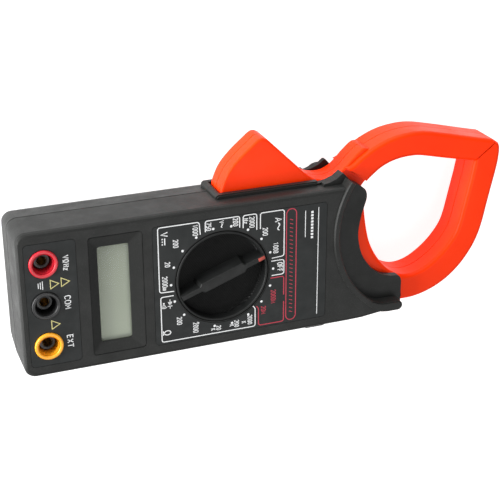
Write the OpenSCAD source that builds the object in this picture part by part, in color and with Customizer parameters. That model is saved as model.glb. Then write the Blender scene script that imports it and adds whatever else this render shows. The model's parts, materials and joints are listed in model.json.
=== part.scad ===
// Clamp meter lying on its back: +X towards the jaws, +Y the trigger side, +Z out of the dial face.
// The origin is on the rest face, under the meter's long axis, halfway along its length.

/* [Body] */
// distance from the origin to the socket end of the case
end_x = 115; // [113:0.5:117]
// width of the case at the parting line
body_w = 66.4; // [65:0.2:68]
// height of the dial face above the rest face
face_z = 35.3; // [35:0.1:35.8]
// height of the parting line between the two case halves
part_z = 16.3; // [16:0.1:17]
// plastic wall thickness of the case
wall = 2.2; // [2:0.1:2.4]
// how far the back face is drawn in on each long side
back_taper = 2.4; // [1.6:0.2:2.8]
// how far the back face is drawn in at the socket end
end_taper = 0.6; // [0.4:0.1:0.8]
// radius of the four plan corners
corner_r = 4.5; // [3.5:0.5:6]

/* [Guard] */
// inner radius of the raised finger guard
guard_ri = 44.3; // [44:0.1:44.6]
// width of the raised finger guard
guard_w = 3; // [2.6:0.1:3.4]
// height of the guard's top above the rest face
guard_z = 36.3; // [36:0.1:36.6]

/* [Dial] */
// position of the dial axis along the body
knob_x = -26; // [-26.4:0.2:-25.6]
// radius of the dial knob
knob_r = 21.3; // [21:0.1:21.5]
// top of the grip bar above the rest face
bar_top = 37; // [36.4:0.1:37.2]
// direction the grip bar points in, degrees from the jaw direction
knob_angle = 20; // [0:20:340]
// number of click positions round the dial
ranges = 18; // [18:1:18]

/* [Display] */
// centre of the display window along the body
lcd_x = -74.2; // [-74.6:0.2:-73.8]
// window size along the body
lcd_w = 13.8; // [13:0.2:14.4]
// window size across the body
lcd_h = 44.6; // [43:0.2:45]

/* [Sockets] */
// distance between socket centres
jack_pitch = 19; // [18.5:0.1:19.1]
// position of the socket row
jack_x = -104.2; // [-104.4:0.1:-104]
// bore of the test lead contacts
jack_bore = 4; // [3.9:0.05:4.1]

/* [Jaws] */
// thickness of the jaws
jaw_t = 18; // [17.4:0.2:18.4]
// height of the middle of the jaws
jaw_z = 17.3; // [17.2:0.1:17.4]
// thickness of the trigger arm
arm_t = 13.4; // [13:0.1:13.6]
// hinge position along the body
piv_x = 33; // [33:0.1:33]
// hinge position across the body
piv_y = 27.5; // [27.5:0.1:27.5]
// diameter of the hinge pin
pin_d = 5; // [4.8:0.1:5.2]
// full opening of the jaws in degrees
jaw_travel = 22; // [18:1:22]

/* [Button] */
// middle of the hold button along the body
hold_x = 20.5; // [20:0.1:21]
// how far the hold button stands out of the case
hold_out = 2.6; // [1.8:0.1:2.6]

/* [Hidden] */
$fn = 64;
hw = body_w/2;
gx = 74; gy = 10.5;
jz0 = jaw_z - jaw_t/2; jz1 = jaw_z + jaw_t/2;
az0 = jaw_z - arm_t/2; az1 = jaw_z + arm_t/2;
zin = face_z - wall;
pcb_z = 24.6; pcb_t = 1.6;
nose_z1 = 30; nose_z0 = 4.6;
jack_y = [jack_pitch, 0, -jack_pitch];
screw_xy = [[-56, 25.8], [-56, -25.8], [8, -25.8], [42.8, -25.8]];
bat_x0 = -111.7; bat_x1 = -65.7;
c_case = [0.17, 0.18, 0.185]; c_org = [1, 0.22, 0.03]; c_steel = [0.6, 0.6, 0.62];

// ---- curves ----
function cr(a, b, c, d, t) = 0.5*(2*b + (c - a)*t + (2*a - 5*b + 4*c - d)*t*t + (3*b - a - 3*c + d)*t*t*t);
function smooth(P, n = 3) = concat(
  [for (i = [0:len(P) - 2]) for (k = [0:n - 1]) cr(P[max(i - 1, 0)], P[i], P[i + 1], P[min(i + 2, len(P) - 1)], k/n)],
  [P[len(P) - 1]]);
function unit(v) = v/norm(v);
function lnorm(v) = [-v[1], v[0]];
// closed outline moved inwards by d (outline runs anticlockwise)
function inset(P, d) = let (n = len(P)) [for (i = [0:n - 1])
  let (a = P[(i + n - 1)%n], b = P[i], c = P[(i + 1)%n], n1 = lnorm(unit(b - a)), n2 = lnorm(unit(c - b)), k = 1 + n1*n2)
  b + (n1 + n2)*d/max(k, 0.8)];
function band(P, w) = let (n = len(P), N = [for (i = [0:n - 1]) lnorm(unit(P[min(i + 1, n - 1)] - P[max(i - 1, 0)]))])
  concat([for (i = [0:n - 1]) P[i] + N[i]*w/2], [for (i = [0:n - 1]) P[n - 1 - i] - N[n - 1 - i]*w/2]);

// fixed jaw: inner edge from tip to root, then outer edge from root to tip
fix_in = [[102.5, 33.3], [101.7, 28.5], [100.7, 23], [99.3, 16.5], [97.9, 10], [96.6, 4], [94.8, -1.5], [91.8, -6.3], [87.6, -11], [82.6, -15], [77.5, -17.9], [72, -19.3], [66.6, -18.7], [61.3, -15.9], [56.6, -11.3], [52.4, -5.2], [49.6, 1], [48, 7.5], [46.9, 14], [46.2, 19.9]];
fix_root = [[35, 19.9], [34.6, 14], [34.3, 7], [35, -1], [37.4, -9.5], [42, -18], [48.5, -24.2], [56, -27.6], [64.9, -28.4]];
fix_out = [[65.1, -31.7], [67.2, -31.95], [72.7, -31.9], [78.1, -31], [83.5, -29.3], [88.9, -26.7], [94.2, -23], [99.5, -17.8], [104.2, -11.2], [107.2, -5], [109.3, 2], [111.3, 12], [113.3, 21.4], [115, 29.7], [115.6, 35], [115.6, 38.4], [114.9, 40.6], [113.6, 41.6]];
function fix_outline() = concat(smooth(fix_in), smooth(fix_root), smooth(fix_out));
// moving jaw and trigger
mov_in = [[47.3, 30.9], [49.5, 32.9], [54.2, 36.4], [59.2, 38.6], [64.2, 39.7], [69.3, 40], [74.4, 39.6], [84.9, 37.2], [95.5, 34.9], [102, 33.6]];
mov_out = [[113, 42], [111.6, 42.9], [109, 43.5], [102.5, 45], [91.6, 47.7], [80.9, 50.2], [75.7, 51.2], [70.5, 51.6], [65.4, 51.3], [60.3, 50.5], [55.3, 49], [50.3, 46.8]];
mov_arm = [[48.4, 45.9], [45.2, 46], [40.5, 42.1], [37.5, 39], [34.6, 36.4], [31, 34.6], [27.2, 34.1], [23.2, 34.7], [20.4, 35.9], [17, 38.7]];
mov_trig = [[-0.6, 56.2], [-2.6, 57.1], [-4.8, 56.6], [-8.6, 53.6], [-13.3, 49.6], [-17.5, 45.2], [-20.2, 41], [-22.2, 35.8], [-22.6, 32.2], [-21.4, 30.3], [-18, 29.7]];
mov_back = [[10, 28.6], [18, 26.5], [24, 23.6], [28.5, 21.7], [33.8, 20.9]];
arm_in = [[43.2, 20.9], [43.8, 24.6], [45.6, 28.6], [47.2, 30.5]];
arm_end = [[50.5, 36], [52.5, 40], [51, 44]];
function mov_outline() = concat(smooth(arm_in), arm_end, smooth(mov_arm), smooth(mov_trig), smooth(mov_back, 2));
function jaw_outline() = concat(smooth(mov_in), smooth(mov_out), [[46.4, 44.5], [42.8, 42], [39.8, 39.5], [37, 38.3]]);
core_fix = [[109.6, 38.5], [109.2, 36.5], [107.6, 26], [104.7, 12], [102.2, 1], [98.9, -7.5], [93.5, -14.6], [87.2, -20], [80, -23.7], [72.5, -25.3], [65, -24.4], [57.5, -20.8], [50.5, -15.2], [44.8, -9], [41.6, -2.8], [41, 3], [41, 9], [40.6, 15], [40.3, 18.7]];
core_mov = [[110.5, 39.2], [106.5, 39.9], [98, 41.2], [88, 43], [77.7, 45.4], [69.8, 45.9], [62.3, 45.1], [55, 42.4], [49.2, 38.4], [44.6, 33.4], [41.3, 28], [40.2, 22.3]];

module loft(L) {
  n = len(L[0][0]); m = len(L);
  polyhedron(points = [for (l = L) for (p = l[0]) [p[0], p[1], l[1]]],
    faces = concat([[for (i = [0:n - 1]) i]],
      [for (k = [0:m - 2]) for (i = [0:n - 1]) [k*n + i, (k + 1)*n + i, (k + 1)*n + (i + 1)%n]],
      [for (k = [0:m - 2]) for (i = [0:n - 1]) [k*n + i, (k + 1)*n + (i + 1)%n, k*n + (i + 1)%n]],
      [[for (i = [0:n - 1]) m*n - 1 - i]]));
}
// half of a jaw shell from the seam upwards, edges eased
module half_up(P, z0, z1, c) loft([[inset(P, 0.35), z0], [P, z0 + 0.35], [P, z1 - c], [inset(P, c*0.35), z1 - c*0.4], [inset(P, c), z1]]);
module half_down(P, z0, z1, c) loft([[inset(P, c), z0], [inset(P, c*0.35), z0 + c*0.4], [P, z0 + c], [P, z1 - 0.35], [inset(P, 0.35), z1]]);

// ---- plan shapes ----
module rrect(x0, x1, y0, y1, r) {
  translate([x0 + r, y0]) square([x1 - x0 - 2*r, y1 - y0]);
  translate([x0, y0 + r]) square([x1 - x0, y1 - y0 - 2*r]);
  for (x = [x0 + r, x1 - r]) for (y = [y0 + r, y1 - r]) translate([x, y]) circle(r);
}
module slab(x0, x1, y0, y1, r, z0, z1) translate([0, 0, z0]) linear_extrude(z1 - z0) rrect(x0, x1, y0, y1, r);
module hslab(d, r, z, x1 = 60, dx = 0) translate([0, 0, z]) linear_extrude(0.02) for (x = [-end_x + d + dx + r, x1 - r]) for (y = [-hw + d + r, hw - d - r]) translate([x, y]) circle(r, $fn = 32);
module tube(r1, r0, z0, z1) difference() {
  translate([0, 0, z0]) cylinder(r = r1, h = z1 - z0);
  translate([0, 0, z0 - 1]) cylinder(r = r0, h = z1 - z0 + 2);
}
// guard ring seen from above: arc, then a straight end over the fixed jaw's root
module guard2d() {
  difference() {
    translate([gx, gy]) circle(guard_ri + guard_w, $fn = 96);
    translate([gx, gy]) circle(guard_ri, $fn = 96);
    polygon([[47, -60], [200, -60], [200, 120], [20, 120], [20, 46.2], [gx - 3, gy], [47, gy - 3]]);
  }
  polygon(concat([[46.9, -24.54]], smooth([[47, -24.62], [49.4, -25.9], [52.2, -26.75], [55.5, -27]]), [[60.6, -27], [60.6, -31.5]],
    smooth([[55.5, -31.5], [52, -31], [49.3, -29.95], [47, -28.34]]), [[46.9, -28.27]]));
  translate([60.6, -29.25]) circle(2.25);
}
// the long side curves in towards the jaw end: what lies outside that curve, shifted by t
side_curve = [[26, -hw], [34, -33], [42, -32.4], [49.6, -31.3], [56, -30.7], [66, -30.4]];
module side2d(t = 0) polygon(concat([for (p = side_curve) [p[0], p[1] + t]], [[66, -44], [26, -44]]));
module nose2d() difference() {
  polygon(concat([[28, -hw], [64.7, -hw]], smooth([[64.7, -20], [64.2, -17.9], [62.6, -16.6], [59.4, -16.2], [54.8, -14.9], [50.2, -11.8],
    [46.4, -7.4], [43.6, -2.6], [42.1, 2.9], [41.5, 7.5], [41.9, 12], [43, 17.5], [44.9, 23.4], [45.2, 26.6], [44.2, 29.2], [41.8, 31.1]], 2),
    [[37.4, 33.6], [34.4, 37], [33.4, 38.1], [32.6, 38.1], [30, 36], [26.6, 34.7], [22, 33.9], [15, 33.2], [28, 20]]));
  side2d();
}
module skirt2d() intersection() {
  nose2d();
  side2d(1.6);
  translate([40, -hw]) square([30, 8]);
}
module arm_slot() translate([-23.6, 27, az0 - 0.7]) cube([60.4, 34, arm_t + 1.4]);
// collar round the foot of the trigger
module rim2d() {
  translate([-24.4, hw - 2]) square([46.4, 3.8]);
  translate([-26, hw - 2]) square([4, 2.2]);
  translate([-24.4, hw + 0.2]) circle(1.6);
}
module rim_full(z0, z1, up = true) {
  translate([0, 0, up ? z0 : z0 + 0.8]) linear_extrude(z1 - z0 - 0.8) rim2d();
  translate([0, 0, up ? z1 - 0.81 : z0]) linear_extrude(0.81) offset(delta = -0.5) rim2d();
}

// ---- case ----
module front_case() color(c_case) difference() {
  union() {
    difference() {
      hull() {
        hslab(0.35, corner_r, part_z);
        hslab(0, corner_r, part_z + 0.4);
        hslab(0, corner_r, face_z - 2);
        hslab(0.3, corner_r, face_z - 0.9);
        hslab(0.9, corner_r, face_z - 0.3);
        hslab(1.9, corner_r, face_z - 0.02);
      }
      translate([gx, gy, part_z - 1]) cylinder(r = guard_ri + 1, h = 40, $fn = 96);
      slab(-end_x + wall, 80, -hw + wall, hw - wall, 2.5, part_z - 1, zin);
      translate([0, 0, part_z - 1]) linear_extrude(40) side2d();
    }
    translate([0, 0, nose_z1 - 3.4]) linear_extrude(guard_z - 0.6 - nose_z1 + 3.4) guard2d();
    intersection() {
      translate([0, 0, guard_z - 0.7]) linear_extrude(0.7) difference() {
        guard2d();
        translate([47.6, -60]) square([40, 50]);
      }
      translate([gx, gy, guard_z - 0.7]) difference() {
        cylinder(r1 = guard_ri + guard_w, r2 = guard_ri + guard_w - 0.6, h = 0.7, $fn = 96);
        translate([0, 0, -0.01]) cylinder(r1 = guard_ri, r2 = guard_ri + 0.6, h = 0.72, $fn = 96);
      }
    }
    translate([0, 0, guard_z - 0.7]) linear_extrude(0.7) difference() {
      polygon([[47.4, -25.3], [49.5, -26.4], [52.3, -27.2], [55.5, -27.45], [60.6, -27.45], [61.9, -28], [62.35, -29.25], [61.9, -30.5], [60.6, -31.05], [55.5, -31.05], [52.1, -30.55], [49.5, -29.5], [47.4, -28.1]]);
    }
    // nose over the jaw roots
    difference() {
      translate([0, 0, nose_z1 - 3.4]) linear_extrude(3.4) nose2d();
      translate([-8, 0, nose_z1 - 4]) cube([32, 60, 5]);
    }
    // side skirt of the nose and its pad over the trigger arm
    difference() {
      translate([0, 0, part_z]) linear_extrude(nose_z1 - 2 - part_z) skirt2d();
    }
    translate([0, 0, az1 + 0.7]) linear_extrude(nose_z1 - 3 - az1 - 0.7) intersection() {
      nose2d();
      polygon([[22, 30.5], [24, 26], [42, 25], [50, 25], [40, 45], [22, 45]]);
    }
    // bosses
    translate([piv_x, piv_y, az1 + 0.6]) cylinder(r = 5.6, h = 9);
    for (p = screw_xy) translate([p[0], p[1], part_z]) cylinder(r = 3.2, h = zin + 0.5 - part_z);
    // ring of click notches under the dial
    translate([knob_x, 0, 0]) tube(26.2, 24.2, 27.6, zin + 0.5);
    rim_full(part_z, 27.8);
  }
  // hinge pin, screws
  translate([piv_x, piv_y, part_z]) cylinder(d = pin_d, h = 14.2);
  for (p = screw_xy) translate([p[0], p[1], part_z - 1]) cylinder(r = 1.3, h = 12);
  arm_slot();
  translate([-23.8, 24, az0]) cube([45.6, 7.4, zin - az0]);
  // dial well and notches
  translate([knob_x, 0, 20]) cylinder(r = knob_r + 0.35, h = 30, $fn = 96);
  for (i = [0:ranges - 1]) rotate(0) translate([knob_x + 24.5*cos(i*20), 24.5*sin(i*20), 27]) cylinder(r = 0.9, h = 4.4, $fn = 24);
  // display window with sloped bezel
  slab(lcd_x - lcd_w/2, lcd_x + lcd_w/2, -lcd_h/2, lcd_h/2, 1.1, 20, 50, $fn = 32);
  hull() {
    slab(lcd_x - lcd_w/2, lcd_x + lcd_w/2, -lcd_h/2, lcd_h/2, 1.1, face_z - 1.3, face_z - 1.29, $fn = 32);
    slab(-85, -61.8, -27.3, 27.3, 1.4, face_z, face_z + 0.01, $fn = 32);
  }
  translate([0, 0, face_z - 0.35]) linear_extrude(1) difference() {
    rrect(-85.3, -61.5, -27.6, 27.6, 1.6);
    rrect(-84.9, -61.9, -27.2, 27.2, 1.3);
  }
  // recesses for the two printed panels
  translate([0, 0, face_z - 0.3]) linear_extrude(1) rrect(-57.4, 23.4, -28.2, 28.2, 1.8);
  translate([0, 0, face_z - 0.3]) linear_extrude(1) rrect(-112.3, -90.2, -28.3, 28.3, 1.8);
  // sockets
  for (y = jack_y) translate([jack_x, y, 20]) cylinder(r = 5.5, h = 30);
  // hold button
  translate([hold_x - 5.2, -hw - 3, 22.9]) cube([10.4, 8, 8.2]);
}

module rear_hull(x1) hull() {
  hslab(0.35, corner_r, part_z - 0.12, x1);
  hslab(0, corner_r, part_z - 0.52, x1);
  hslab(back_taper*0.75, corner_r, 4, x1, (end_taper - back_taper)*0.75);
  hslab(back_taper, corner_r, 1.6, x1, end_taper - back_taper);
  hslab(back_taper + 1.2, corner_r, 0.3, x1, end_taper - back_taper);
  hslab(back_taper + 2, corner_r, 0, x1, end_taper - back_taper);
}
module rear_case() color(c_case) difference() {
  union() {
    difference() {
      rear_hull(60);
      translate([gx, gy, -1]) cylinder(r = guard_ri + 1, h = 40, $fn = 96);
      translate([0, 0, -1]) linear_extrude(40) side2d();
      hull() {
        translate([0, 0, part_z]) linear_extrude(2) rrect(-end_x + wall, 80, -hw + wall, hw - wall, 2.5, $fn = 32);
        translate([0, 0, wall]) linear_extrude(0.02) rrect(-end_x + wall + end_taper, 80, -hw + wall + back_taper, hw - wall - back_taper, 2.5, $fn = 32);
      }
    }
    intersection() {
      union() {
        difference() {
          linear_extrude(nose_z0 + 3.4) guard2d();
          translate([0, 24, -1]) cube([40, 40, 5]);
        }
        difference() {
          translate([0, 0, nose_z0]) linear_extrude(3.4) intersection() {
            nose2d();
            translate([-1.9, -1.9]) nose2d();
          }
          translate([-8, 0, nose_z0 - 1]) cube([32, 60, 5]);
        }
        translate([0, 0, nose_z0]) linear_extrude(part_z - 0.1 - nose_z0) skirt2d();
      }
      union() {
        rear_hull(95);
        translate([10, 10, -1]) cube([90, 25, 30]);
      }
    }
    translate([0, 0, nose_z0 + 3]) linear_extrude(az0 - 0.7 - nose_z0 - 3) intersection() {
      nose2d();
      polygon([[22, 30.5], [24, 26], [42, 25], [50, 25], [40, 45], [22, 45]]);
    }
    translate([piv_x, piv_y, 1]) cylinder(r = 6.4, h = az0 - 0.6 - 1);
    for (p = screw_xy) translate([p[0], p[1], 1]) cylinder(r = 3.2, h = part_z - 1.1);
    // walls of the battery bay
    for (y = [-15.6, 14]) translate([-end_x + 2.2, y, 1]) cube([54.9, 1.6, 14]);
    difference() {
      translate([-60.2, -15.6, 1]) cube([1.6, 31.2, 14]);
      translate([-61, -6, 8]) cube([4, 12, 8]);
    }
    intersection() {
      rim_full(6.8, part_z - 0.1, false);
      translate([-40, 20, 0]) cube([100, 40, 40]);
    }
  }
  translate([piv_x, piv_y, 3.6]) cylinder(d = pin_d, h = 20);
  // groove for the fixed leg of the return spring
  translate([piv_x, piv_y, 0]) intersection() {
    tube(5.3, 3.6, 7.6, 12);
    linear_extrude(20) polygon([[0, 0], [12*cos(-112), 12*sin(-112)], [12*cos(-85), 12*sin(-85)], [12*cos(-55), 12*sin(-55)]]);
  }
  for (p = screw_xy) translate([p[0], p[1], -1]) {
    cylinder(r = 1.65, h = 30);
    cylinder(r = 2.9, h = 7);
  }
  arm_slot();
  translate([-23.8, 24, az0 - 0.7]) cube([45.6, 7.4, 12]);
  // opening and seat of the battery door, boss hole for its screw
  slab(-108.4, -60.8, -13.6, 13.6, 1, -1, 4);
  slab(-110.2, -58.6, -15.4, 15.4, 1.5, -1, 1.5);
  slab(-61.8, -50.2, -5.2, 5.2, 2, -1, 1.5);
  translate([-54.8, 0, -1]) cylinder(r = 1.3, h = 12);
}

module battery_door() color(c_case) difference() {
  union() {
    slab(-110, -58.8, -15.2, 15.2, 1.4, 0, 1.35);
    slab(-61.6, -50.4, -5, 5, 1.9, 0, 1.35);
    slab(-108.1, -61.1, -13.3, 13.3, 1, 1.3, 2.4);
  }
  translate([-54.8, 0, -1]) cylinder(r = 1.6, h = 5);
  translate([-54.8, 0, -0.6]) cylinder(r1 = 4.2, r2 = 1.65, h = 1.9);
  for (i = [0:5]) translate([-106 + i*2, -8, -0.4]) cube([0.9, 16, 0.8]);
}
module screw(L, hr, hh, cross = true) difference() {
  union() {
    cylinder(r = hr, h = hh);
    cylinder(r = 1.25, h = L);
  }
  if (cross) for (a = [0, 90]) rotate(a) translate([-hr*0.62, -0.3, -0.5]) cube([hr*1.24, 0.6, 1.3]);
}
module battery_door_screw() color(c_steel) translate([-54.8, 0, 0.05]) difference() {
  union() {
    cylinder(r1 = 3, r2 = 1.25, h = 1.25);
    cylinder(r = 1.25, h = 9);
  }
  for (a = [0, 90]) rotate(a) translate([-1.6, -0.3, -0.5]) cube([3.2, 0.6, 1.1]);
}
module case_screws() color(c_steel) for (p = screw_xy) translate([p[0], p[1], 4]) screw(18, 2.7, 1.9);

// ---- printed panels ----
module dial_label() color([0.13, 0.14, 0.15]) translate([0, 0, face_z - 0.28]) linear_extrude(0.33) difference() {
  rrect(-57.2, 23.2, -28, 28, 1.6);
  translate([knob_x, 0]) circle(knob_r + 0.9, $fn = 96);
}
module jack_label() color([0.13, 0.14, 0.15]) translate([0, 0, face_z - 0.28]) linear_extrude(0.33) difference() {
  rrect(-112.1, -90.4, -28.1, 28.1, 1.6);
  for (y = jack_y) translate([jack_x, y]) circle(6.4);
}

// ---- display ----
module lcd_window() color([0.8, 0.85, 0.85, 0.35]) slab(-84, -64.4, -25.6, 25.6, 1, zin - 1.15, zin - 0.05);
module lcd_glass() color([0.5, 0.53, 0.42]) slab(-83, -65.4, -24.6, 24.6, 0.6, 29.1, zin - 1.35);
module lcd_frame() color([0.85, 0.85, 0.82]) difference() {
  slab(-86.2, -62.2, -27.8, 27.8, 1.2, pcb_z + pcb_t + 0.05, zin - 0.1);
  slab(-84.3, -64.1, -25.9, 25.9, 0.8, zin - 1.4, zin + 1);
  slab(-83.2, -65.2, -24.8, 24.8, 0.6, 28.95, zin);
  slab(-79.6, -68.8, -23, 23, 0.6, 20, 30);
  for (x = [-83.1, -67.9]) translate([x, -23.6, 20]) cube([2.6, 47.2, 12]);
}
module zebra_strips() color([0.2, 0.2, 0.21]) for (x = [-82.9, -67.7]) translate([x, -23.4, pcb_z + pcb_t + 0.02]) cube([2.2, 46.8, 29.1 - pcb_z - pcb_t - 0.04]);

// ---- circuit board ----
module main_pcb() color([0.12, 0.35, 0.2]) difference() {
  union() {
    slab(-111.4, 19, -29.4, 29.4, 1, pcb_z, pcb_z + pcb_t);
    slab(10, 26, -29.4, -18, 1, pcb_z, pcb_z + pcb_t);
  }
  translate([hold_x - 6.8, -32, 20]) cube([14, 4, 10]);
  for (y = jack_y) translate([jack_x, y, 20]) cylinder(r = 3.45, h = 10);
  for (p = screw_xy) translate([p[0], p[1], 20]) cylinder(r = 3.7, h = 10);
  translate([knob_x, 0, 20]) cylinder(r = 2.6, h = 10);
  translate([gx, gy, 20]) cylinder(r = guard_ri + 7, h = 10);
  for (y = [-5.4, 3.4]) translate([-57, y, 20]) cylinder(r = 0.8, h = 10);
  for (x = [15, 12.5]) translate([x, -2.5, 20]) cylinder(r = 0.7, h = 10);
}
module switch_tracks() color([0.8, 0.6, 0.25]) translate([knob_x, 0, 0]) for (r = [6, 10, 14]) tube(r + 1.1, r - 0.9, pcb_z + pcb_t + 0.01, pcb_z + pcb_t + 0.06);
module converter_chip() color([0.06, 0.06, 0.06]) translate([-74.2, 0, pcb_z]) {
  translate([-8, -8, -2.4]) cube([16, 16, 2.2]);
  for (i = [0:7]) for (s = [-1, 1]) translate([-6.6 + i*1.8, s*9 - 0.9, -1.4]) cube([0.6, 1.8, 1.38]);
}
module board_parts() color([0.55, 0.45, 0.3]) {
  for (i = [0:3]) translate([-53 + i*6.4, 22, pcb_z - 1.5]) rotate([0, 90, 0]) cylinder(r = 1.2, h = 4.5, $fn = 24);
  for (i = [0:3]) translate([-48 + i*9, -22, pcb_z - 4.9]) cylinder(r = 2.2, h = 4.8, $fn = 32);
  for (p = [[-96, 9.5], [-96, -9.5]]) translate([p[0] - 2, p[1] - 3.5, pcb_z - 2.3]) cube([4, 7, 2.25]);
}
module buzzer() color([0.1, 0.1, 0.1]) difference() {
  translate([6, -16, pcb_z - 5.6]) cylinder(r = 6, h = 5.5);
  translate([6, -16, pcb_z - 6]) cylinder(r = 1, h = 1.4);
}

// ---- dial ----
module knob() color([0.1, 0.105, 0.11]) translate([knob_x, 0, 0]) rotate(knob_angle) difference() {
  union() {
    tube(knob_r, knob_r - 1.3, 28.7, face_z + 0.1);
    translate([0, 0, 28.7]) cylinder(r = knob_r - 0.5, h = 1.5, $fn = 96);
    translate([0, 0, 31.2]) difference() {
      cylinder(r = 23.6, h = 1.5, $fn = 96);
      translate([0, 0, -1]) cylinder(r = knob_r - 1, h = 5, $fn = 96);
    }
    // grip bar
    intersection() {
      union() {
        hull() {
          translate([-30, -2.1, 30]) cube([60, 4.2, 0.1]);
          translate([-30, -1.15, bar_top - 0.02]) cube([60, 2.3, 0.02]);
        }
        hull() {
          translate([-11.2, -3.8, 30]) cube([22.4, 7.6, 0.1]);
          translate([-10, -2.3, bar_top - 0.02]) cube([20, 4.6, 0.02]);
        }
      }
      cylinder(r = knob_r - 0.7, h = 60, $fn = 96);
    }
    // drive post
    translate([0, 0, 26.4]) cylinder(r = 2.4, h = 3);
  }
  translate([17.3, -0.9, bar_top - 0.3]) cube([4.2, 1.8, 1]);
}
module knob_mark() color([0.75, 0.2, 0.15]) translate([knob_x, 0, 0]) rotate(knob_angle) translate([17.35, -0.85, bar_top - 0.29]) cube([3.1, 1.7, 0.31]);
module switch_rotor() color([0.9, 0.9, 0.86]) translate([knob_x, 0, 0]) rotate(knob_angle) difference() {
  union() {
    translate([0, 0, 27.2]) cylinder(r = 19.5, h = 1.45, $fn = 96);
    intersection() {
      translate([0, 0, 27.2]) cylinder(r = 23.4, h = 3.8, $fn = 96);
      for (a = [0, 180]) rotate(a) translate([19, -2.2, 27.2]) cube([5, 4.4, 3.8]);
    }
  }
  translate([0, 0, 26]) cylinder(r = 2.45, h = 5);
  translate([-30, 0, 29.1]) rotate([0, 90, 0]) cylinder(r = 1.05, h = 60, $fn = 32);
  translate([0, 0, 28.68]) cylinder(r = knob_r + 0.02, h = 10, $fn = 96);
}
module rotor_contacts() color([0.85, 0.65, 0.3]) translate([knob_x, 0, 0]) rotate(knob_angle) for (r = [6, 10, 14]) translate([r - 0.4, -3, pcb_z + pcb_t + 0.1]) difference() {
  cube([1, 6, 0.88]);
  translate([-1, -0.01, 0.3]) cube([3, 1.8, 1]);
}
module click_balls() color(c_steel) translate([knob_x, 0, 0]) rotate(knob_angle) for (a = [0, 180]) rotate(a) translate([22.85, 0, 29.1]) sphere(r = 1, $fn = 32);

// ---- sockets ----
module jack_wells() color([0.05, 0.05, 0.055]) for (y = jack_y) translate([jack_x, y, 0]) {
  difference() {
    translate([0, 0, 26.6]) cylinder(r = 5.4, h = face_z - 26.7);
    translate([0, 0, 28.2]) cylinder(r = 4.55, h = 20);
    translate([0, 0, 20]) cylinder(r = 2.75, h = 20);
  }
  tube(3.4, 2.75, 27, 31.6);
}
module jack_ring(i) translate([jack_x, jack_y[i], 0]) difference() {
  translate([0, 0, face_z - 0.02]) cylinder(r1 = 6.15, r2 = 5.7, h = 1.1);
  translate([0, 0, face_z - 1]) cylinder(r = 4.55, h = 4);
}
module jack_ring_red() color([0.85, 0.2, 0.25]) jack_ring(0);
module jack_ring_black() color([0.05, 0.05, 0.055]) jack_ring(1);
module jack_ring_yellow() color([0.96, 0.64, 0.15]) jack_ring(2);
module jack_contacts() color([0.8, 0.66, 0.3]) for (y = jack_y) translate([jack_x, y, 0]) {
  difference() {
    translate([0, 0, 21]) cylinder(r = 2.7, h = 10.4);
    translate([0, 0, 22.2]) cylinder(d = jack_bore, h = 20);
  }
  tube(4.4, 2.69, pcb_z - 0.55, pcb_z - 0.05);
}

// ---- hold button ----
module hold_button() color([0.1, 0.1, 0.11]) translate([hold_x, 0, 27]) difference() {
  union() {
    hull() {
      translate([-5, -hw - hold_out + 0.8, -3.9]) cube([10, 0.1, 7.8]);
      translate([-4.2, -hw - hold_out, -3.1]) cube([8.4, 0.1, 6.2]);
    }
    translate([-5, -hw - hold_out + 0.8, -3.9]) cube([10, hold_out + 2.4, 7.8]);
    translate([-6.2, -hw + wall + 0.12, -5]) cube([12.4, 1, 9.6]);
  }
  translate([-3.6, -30.3, -2.6]) cube([7.2, 20, 5.2]);
}
module hold_switch() color([0.25, 0.25, 0.26]) translate([hold_x, 0, 0]) {
  translate([-5.6, -25, pcb_z + pcb_t + 0.02]) cube([3.4, 1, 2]);
  translate([-4, -26.2, pcb_z + pcb_t + 0.02]) cube([8, 5, 3.4]);
  translate([0, -26.1, pcb_z + pcb_t + 1.8]) rotate([90, 0, 0]) cylinder(r = 1.2, h = 2.6, $fn = 32);
}

// ---- jaws ----
// laminated core, its end cut parallel to the mating faces of the jaws
module core_solid(P, w, t, g = 0) translate([0, 0, jaw_z - t/2]) linear_extrude(t) difference() {
  polygon(band(smooth(P, 2), w));
  if (g > 0) translate([107.5, 37.8]) rotate(37.4) translate([-30, -30]) square([60, 30 + g]);
  if (g < 0) translate([108, 37.4]) rotate(37) translate([-30, g]) square([60, 30]);
}
module coil_room() translate([34.9, -3.2, jaw_z - 6.9]) cube([11.8, 16.4, 13.8]);
module fixed_jaw_front() color(c_org) resize([0, 0, 0]) difference() {
  half_up(fix_outline(), jaw_z, jz1, 1.8);
  core_solid(core_fix, 7.1, 9.1, -0.95);
  coil_room();
}
module fixed_jaw_rear() color(c_org) resize([0, 0, 0]) difference() {
  half_down(fix_outline(), jz0, jaw_z, 1.8);
  core_solid(core_fix, 7.1, 9.1, -0.95);
  coil_room();
}
module fixed_jaw_core() color(c_steel) core_solid(core_fix, 7, 9, -1);
module moving_jaw_front() color(c_org) difference() {
  resize([0, 0, 0]) difference() {
    translate([0, 0, 2*jaw_z]) mirror([0, 0, 1]) union() {
      half_down(mov_outline(), az0, jaw_z, 0.9);
      half_down(jaw_outline(), jz0, jaw_z, 1.8);
    }
    core_solid(core_mov, 5.1, 9.1, 0.95);
  }
  translate([piv_x, piv_y, 0]) cylinder(d = pin_d + 0.1, h = 40);
}
module moving_jaw_rear() color(c_org) difference() {
  resize([0, 0, 0]) difference() {
    union() {
      half_down(mov_outline(), az0, jaw_z, 0.9);
      half_down(jaw_outline(), jz0, jaw_z, 1.8);
    }
    core_solid(core_mov, 5.1, 9.1, 0.95);
  }
  translate([piv_x, piv_y, 0]) {
    cylinder(d = pin_d + 0.1, h = 40);
    cylinder(r = 5.1, h = az0 + 3.9);
  }
}
module moving_jaw_core() color(c_steel) core_solid(core_mov, 5, 9, 1);
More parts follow.
